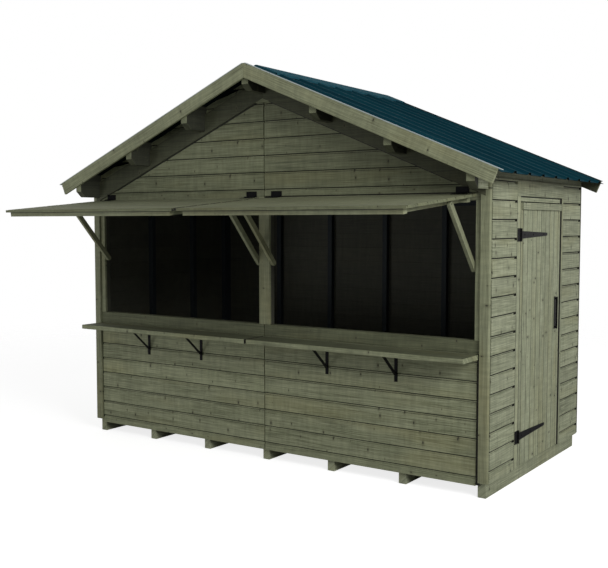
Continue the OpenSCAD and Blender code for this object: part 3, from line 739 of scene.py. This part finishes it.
low, high = corners("bearers")
bearer = {"count": 7, "width": 58.0}
solids = [box((x, low[1], low[2]), (x + bearer["width"], high[1], high[2]), "y", 2.5)
          for x in np.linspace(low[0], high[0] - bearer["width"], bearer["count"])]
makePiece("floor_bearers", solids, [bearerWood], ["bearers"])

counterLow, counterHigh = corners("counters")
counterGap = 8.0


def counterFinish(at, normals):
    # painted shade in the gap between the boards and on the top, the front wall's finish on the front edge
    # and on the right-hand end, which faces the light
    edge = (at[:, 1] < counterLow[1] + 4) | (at[:, 0] > counterHigh[0] - 2)
    return np.where(np.abs(at[:, 0]) < counterGap + 1.5, 2, edge)


solids = [box((counterGap, *counterLow[1:]), counterHigh, "x", 4.0),
          box(counterLow, (-counterGap, *counterHigh[1:]), "x", 4.0)]
makePiece("counter_boards", solids, [sillShadeWood, frontShadeWood, jointShadeWood], ["counters"],
          shaded=counterFinish)
print("timber made")

# Roof: ribbed sheet and a folded ridge cap.
sheet = {"thick": 3.0, "rib": 16.0, "base": 64.0, "top": 30.0, "pitch": 248.0, "first": 220.0, "bend": 3.0,
         "seat": 0.3, "inner": 4.0, "barge": 21.0}
sheetLow, sheetHigh = corners("roof_sheet_right")
hands = (("left", -1), ("right", 1))


def ribProfile():
    # (y, h) line of the sheet's upper side: flat pans and ribs of trapezoid section, each fold a short arc
    y0, y1 = sheetLow[1], sheetHigh[1]
    count = int((y1 - y0 - sheet["first"] - sheet["base"] / 2 - 2 * sheet["thick"]) // sheet["pitch"]) + 1
    t, h, foot, crown = sheet["thick"], sheet["rib"], sheet["base"] / 2, sheet["top"] / 2
    points = [[y0 + sheet["barge"], t]]
    for k in range(count):
        c = y0 + sheet["first"] + k * sheet["pitch"]
        points += [[c - foot, t], [c - crown, t + h], [c + crown, t + h], [c + foot, t]]
    points += [[y1 - sheet["barge"], t]]
    points = np.array(points)
    here = points[1:-1]
    before, after = points[:-2] - here, points[2:] - here
    back, ahead = (np.linalg.norm(side, axis=1)[:, None] for side in (before, after))
    reach = np.minimum(sheet["bend"], 0.45 * np.minimum(back, ahead))
    arcs = [here + before / back * reach * (1 - s) ** 2 + after / ahead * reach * s ** 2
            for s in (0.0, 0.35, 0.65, 1.0)]
    return np.concatenate([points[:1], np.stack(arcs, 1).reshape(-1, 2), points[-1:]])


def roofSheet(hand):
    # the profile, closed by the same line one thickness lower, carried down the slope from ridge to eaves
    top = ribProfile()
    under = top - [0, sheet["thick"] - 0.05]
    y, lift = np.concatenate([top, under[::-1]]).T
    reach = sheetHigh[0] - (sheet["rib"] + sheet["thick"]) * roof["sin"]
    s = np.linspace(sheet["inner"], reach / roof["cos"], 6)[:, None]
    x = s * roof["cos"] + lift * roof["sin"]
    z = roof["ridge"] + sheet["seat"] / roof["cos"] - s * roof["sin"] + lift * roof["cos"]
    return tube(joined(hand * x, y, z), joined(s, y))


flashing = {"lift": 14.6, "thick": 4.4, "width": 26.0}


def vergeFlashing(hand, y0, y1, short):
    # flat strip laid down the slope over a barge board, from the ridge to the eaves
    end = (sheetHigh[0] - short) / roof["cos"]
    s = np.array([flashing["lift"] * roof["tan"], end / 2, end])[:, None]
    lift = flashing["lift"] + np.array([0, 1, 1, 0]) * flashing["thick"]
    x = np.maximum(s * roof["cos"] + lift * roof["sin"], 0.3)
    z = roof["ridge"] - s * roof["sin"] + lift * roof["cos"]
    y = np.array([y0, y0, y1, y1])
    return tube(joined(hand * x, y, z), joined(s, y))


# the underside of each sheet is in painted shade
for name, hand in hands:
    makePiece(f"roof_{name}_ribbed_sheet", [roofSheet(hand)], [roofSteel, undersideShadeSteel],
              [f"roof_sheet_{name}"], smooth=40,
              shaded=lambda at, normals: normals[:, 2] < 0)
for end, finish, short, y0, y1 in (
        ("front", paleVergeSteel, 8.0, sheetLow[1], sheetLow[1] + flashing["width"]),
        ("back", roofSteel, 26.0, sheetHigh[1] - flashing["width"], sheetHigh[1])):
    makePiece(f"{end}_verge_flashing", [vergeFlashing(hand, y0, y1, short) for hand in (-1, 1)], [finish])

cap = {"half": capHigh[0], "thick": 3.0, "lip": 15.0, "roundOver": 12.0, "setBack": 150.0,
       "stopLength": 12.0, "stopDeep": 21.0}


def ridgeCap(y0, y1, thick, lipDrop):
    # (x, z) line: two wings with a rounded crown and a lip turned down at each edge, carried along the ridge
    crown = capHigh[2]
    flat = cap["roundOver"]
    x = np.concatenate([[-cap["half"]], np.linspace(-flat, flat, 7), [cap["half"]]])
    ease = np.where(np.abs(x) <= flat, (flat - np.abs(x)) ** 2 / (2 * flat), 0)
    z = crown - np.abs(x) * roof["tan"] - ease * roof["tan"]
    top = np.column_stack([x, z])
    lip = np.array([[cap["half"], z[-1] - lipDrop], [cap["half"] - cap["thick"], z[-1] - lipDrop]])
    under = np.column_stack([x[::-1], z[::-1] - thick])
    under[0, 0] -= cap["thick"]
    under[-1, 0] += cap["thick"]
    outline = np.concatenate([top, lip, under, lip[::-1] * [-1, 1]])
    y = np.linspace(y0, y1, 7)[:, None]
    grid = joined(outline[:, 0], y, outline[:, 1])
    return tube(grid, grid[..., :2])


capFront = capLow[1] + cap["setBack"]
makePiece("folded_ridge_cap", [ridgeCap(capFront, capHigh[1], cap["thick"], cap["lip"]),
                               ridgeCap(capFront + 0.5, capFront + cap["stopLength"], cap["stopDeep"],
                                        cap["stopDeep"] + 0.5)],
          [capSteel], ["ridge_cap"], smooth=40)
print("roof made")

# Hatches are drawn shut and turned about the hinge line to the propped pose.
axisY, axisZ = -wallY - 28.0, gable["bottom"] + 2.0
hatch = {"turn": radians(-84.6), "thick": 18.0, "gap": 4.5, "inner": 20.0, "outer": 1712.0, "line": 1038.0,
         "sill": 1030.0, "lap": 13.0}
hatch["face"] = -axisY - hatch["gap"]
hatch["top"] = axisZ - 8
hatch["inside"] = -hatch["face"] + hatch["thick"]


def opened(solid):
    # turned about the hinge line: y cos - z sin and y sin + z cos, measured from it
    points, faces, grain = solid
    y, z = points[:, 1] - axisY, points[:, 2] - axisZ
    c, s = cos(hatch["turn"]), sin(hatch["turn"])
    turned = np.column_stack([points[:, 0], axisY + y * c - z * s, axisZ + y * s + z * c])
    return turned, faces, grain


leaf = dict(board, thick=18.0, proud=0.6, slitDepth=12.0)
batten = {"width": 45.0, "thick": 33.0, "low": hatch["sill"] + 7, "rail": 44.0, "clear": 5.0,
          "cross": (56.0, 1684.0), "posts": (85.0, 833.75, 1582.5)}
batten["top"] = gable["bottom"] - batten["rail"] - batten["clear"]
for name, hand in hands:
    body = f"hatch_{name}"
    u0, u1 = sorted([hand * hatch["inner"], hand * hatch["outer"]])
    solids = stack("front", u0, u1, hatch["line"], hatch["sill"] - hatch["lap"], hatch["top"],
                   hatch["face"], leaf)
    # the boards are in painted shade, their inner ends at the middle gap darkest
    makePiece(f"{body}_boarding", [opened(s) for s in solids], [hatchShadeWood, jointShadeWood],
              [f"{body}_boards"], body,
              shaded=lambda at, normals: np.abs(at[:, 0]) < hatch["inner"] + 1)
    x0, x1 = sorted([hand * batten["cross"][0], hand * batten["cross"][1]])
    y0, y1 = hatch["inside"], hatch["inside"] + batten["thick"]
    z0, z1 = batten["low"] + batten["width"], batten["top"] - batten["width"]
    bars = [box((x0, y0, batten["low"]), (x1, y1, z0), "x"), box((x0, y0, z1), (x1, y1, batten["top"]), "x")]
    for at in batten["posts"]:
        a, b = sorted([hand * at, hand * (at + batten["width"])])
        bars.append(box((a, y0, z0), (b, y1, z1), "z"))
    # a line of painted shadow where the boards overhang the lower batten
    line = box((x0 + 1, y0, batten["low"] - 1), (x1 - 1, y0 + 6, batten["low"] + 6), "x", 0.5)
    makePiece(f"{body}_batten_joint", [opened(line)], [jointShadeWood], body=body)
    makePiece(f"{body}_frame", [opened(s) for s in bars], [slimWood], [f"{body}_battens"],
              body)

prop = {"length": 551.0, "width": 40.0, "turn": radians(41.9), "pivot": (48.0, -322.0), "ease": 1.5}


def propSolid(low, high):
    # plank with half-round ends: the half width is r, or past a pivot the root of r squared less past squared
    r = prop["width"] / 2
    c, s = cos(hatch["turn"]), sin(hatch["turn"])
    py = axisY + prop["pivot"][0] * c - prop["pivot"][1] * s
    pz = axisZ + prop["pivot"][0] * s + prop["pivot"][1] * c
    arc = r * np.sin(np.linspace(-pi / 2 + 0.06, 0, 6))
    t = np.concatenate([arc, [prop["length"] / 2], prop["length"] - arc[::-1]])
    past = np.maximum(np.maximum(-t, t - prop["length"]), 0)
    half = np.sqrt(r ** 2 - past ** 2)[:, None]
    e = prop["ease"]
    x = np.array([low[0], low[0], low[0] + e, high[0] - e, high[0], high[0], high[0] - e, low[0] + e])
    share = np.array([-1, 1, 1, 1, 1, -1, -1, -1])
    inset = np.array([e, e, 0, 0, e, e, 0, 0])
    across = share * np.maximum(half - inset, 0.6)
    down = -t[:, None]
    c, s = cos(prop["turn"]), sin(prop["turn"])
    grid = joined(x, py + across * c - down * s, pz + across * s + down * c)
    return tube(grid, joined(-down, across + x))


for name in ("prop_left_outer", "prop_left_inner", "prop_right_inner", "prop_right_outer"):
    low, high = corners(name)
    makePiece(name.replace("prop", "folding_prop"), [propSolid(low, high)], [slimWood], [name],
              name, smooth=35)
print("hatches made")

# Small ironwork, joined into a few pieces on each body. Offsets are in mm from each hinge, strap or bracket.
screw = {"size": (4.5, 1.6), "bolt": (6.0, 3.0), "hinges": {"inner": 115.0, "outer": 1597.0},
         "plate": [(x, z) for x in (-34, 34) for z in (12, 31)],
         "leaf": [(x, z) for x in (-36, 0, 36) for z in (-50, -24)],
         "doorPlate": (26.0, (-33, 33)), "strap": (70, 230, 440), "hingeY": -389.0,
         "brackets": (-1183.0, -623.0, 560.0, 1120.0)}
towardFront, towardDoorEnd = (0, -1, 0), (1, 0, 0)
fixed = []
for place, x in screw["hinges"].items():
    for name, hand in hands:
        fixed += [dome((hand * x + dx, -wallY - 3, axisZ + dz), towardFront, *screw["size"])
                  for dx, dz in screw["plate"]]
        heads = [opened(dome((hand * x + dx, axisY + 1.5, axisZ + dz), towardFront,
                             *screw["size"])) for dx, dz in screw["leaf"]]
        makePiece(f"hatch_{name}_screws_{place}", heads, [iron], body=f"hatch_{name}",
                  smooth=50)
onDoor = []
for z in ledge["heights"][::2]:
    fixed += [dome((wallX + 3, stripLow[1] + screw["doorPlate"][0], z + dz), towardDoorEnd, *screw["size"])
              for dz in screw["doorPlate"][1]]
    onDoor += [dome((wallX + 4, screw["hingeY"] + reach, z), towardDoorEnd, *screw["bolt"])
               for reach in screw["strap"]]
bracketLow, bracketHigh = corners("counter_brackets")
fixed += [dome((x, -wallY - 4, z), towardFront, *screw["size"]) for x in screw["brackets"]
          for z in (bracketLow[2] + 16, bracketLow[2] + 34, bracketHigh[2] - 30)]
makePiece("wall_screws", fixed, [iron], smooth=50)

handle = {"wider": 11.0, "longer": 3.0, "thick": 2.5}
handleLow, handleHigh = corners("door_handle")
plate = box((wallX, handleLow[1] - handle["wider"], handleLow[2] - handle["longer"]),
            (wallX + handle["thick"], handleHigh[1] + handle["wider"], handleHigh[2] + handle["longer"]),
            "z", 1.0)
makePiece("handle_plate", [plate], [iron], body="door")
makePiece("strap_bolts", onDoor, [iron], body="door", smooth=50)
print("fixings made")

# Stage, light and camera.
stage = {"radius": 14.0, "fadeFrom": 4.5, "fadeTo": 10.0, "glow": 0.8, "sides": 64}


def paleFloor():
    # matt white paper; for the camera it is lifted towards white, keeps the soft shadow, and fades into the
    # backdrop
    material, tree = newMaterial("pale matt floor")
    coords = add(tree, "TexCoord").outputs["Object"]
    away = add(tree, "VectorMath", {"operation": "LENGTH"}, links={0: coords}).outputs["Value"]
    fade = add(tree, "MapRange", links={0: away},
               values={"From Min": stage["fadeFrom"], "From Max": stage["fadeTo"]})
    matt = add(tree, "BsdfDiffuse", values={"Color": (0.55, 0.55, 0.55, 1)})
    path = add(tree, "LightPath")
    seen = add(tree, "Math", {"operation": "MULTIPLY"}, {1: stage["glow"]},
               {0: path.outputs["Is Camera Ray"]})
    glow = add(tree, "Emission", links={"Strength": seen})
    lit = add(tree, "AddShader", links={0: matt, 1: glow})
    clear = add(tree, "BsdfTransparent")
    both = add(tree, "MixShader", links={0: fade, 1: lit, 2: clear})
    add(tree, "OutputMaterial", links={0: both})
    return material


ring = np.linspace(0, 2 * pi, stage["sides"] + 1)[:-1]
edge = np.column_stack([stage["radius"] * np.cos(ring), stage["radius"] * np.sin(ring),
                        np.full(stage["sides"], -0.0005)])
floorMesh = bpy.data.meshes.new("floor")
floorMesh.from_pydata(edge.tolist(), [], [list(range(stage["sides"]))])
floorMesh.materials.append(paleFloor())
floorPiece = bpy.data.objects.new("floor", floorMesh)
bpy.context.scene.collection.objects.link(floorPiece)

light = {"world": 0.3, "target": (0, 0, 1.1), "key": ((8.2, -4.4, 4.8), 4.0, 500),
         "fill": ((-3.4, -5.6, 0.8), 1.5, 38)}
world = bpy.data.worlds.new("studio")
bpy.context.scene.world = world
world.use_nodes = True
tree = world.node_tree
tree.nodes.clear()
path = add(tree, "LightPath")
seen = add(tree, "Math", {"operation": "MAXIMUM"},
           links={0: path.outputs["Is Camera Ray"], 1: path.outputs["Is Glossy Ray"]})
seen = add(tree, "Math", {"operation": "MAXIMUM"},
           links={0: seen, 1: path.outputs["Is Transmission Ray"]})
lit = add(tree, "Background", values={"Color": (1, 1, 1, 1), "Strength": light["world"]})
white = add(tree, "Background", values={"Color": (1, 1, 1, 1), "Strength": 1.0})
mixed = add(tree, "MixShader", links={0: seen, 1: lit, 2: white})
add(tree, "OutputWorld", links={0: mixed})

for name in ("key", "fill"):
    place, width, power = light[name]
    lampData = bpy.data.lights.new(name, "AREA")
    lampData.shape = "DISK"
    lampData.size = width
    lampData.energy = power
    lamp = bpy.data.objects.new(name, lampData)
    lamp.location = place
    aim = np.array(light["target"]) - np.array(place)
    tilt = acos(-aim[2] / np.linalg.norm(aim))
    lamp.rotation_euler = (tilt, 0, atan2(aim[1], aim[0]) - pi / 2)
    bpy.context.scene.collection.objects.link(lamp)

camera = {"lens": 54.23, "at": (4.1010, -6.3430, 1.7873), "yaw": 34.425, "pitch": 3.822}
cameraData = bpy.data.cameras.new("camera")
cameraData.lens = camera["lens"]
cameraData.sensor_width = 36.0
cameraData.clip_end = 200.0
cameraObject = bpy.data.objects.new("camera", cameraData)
cameraObject.location = camera["at"]
cameraObject.rotation_euler = (radians(90 - camera["pitch"]), 0, radians(camera["yaw"]))
bpy.context.scene.collection.objects.link(cameraObject)
bpy.context.scene.camera = cameraObject
bpy.context.scene.view_settings.view_transform = "Standard"

print("scene made")
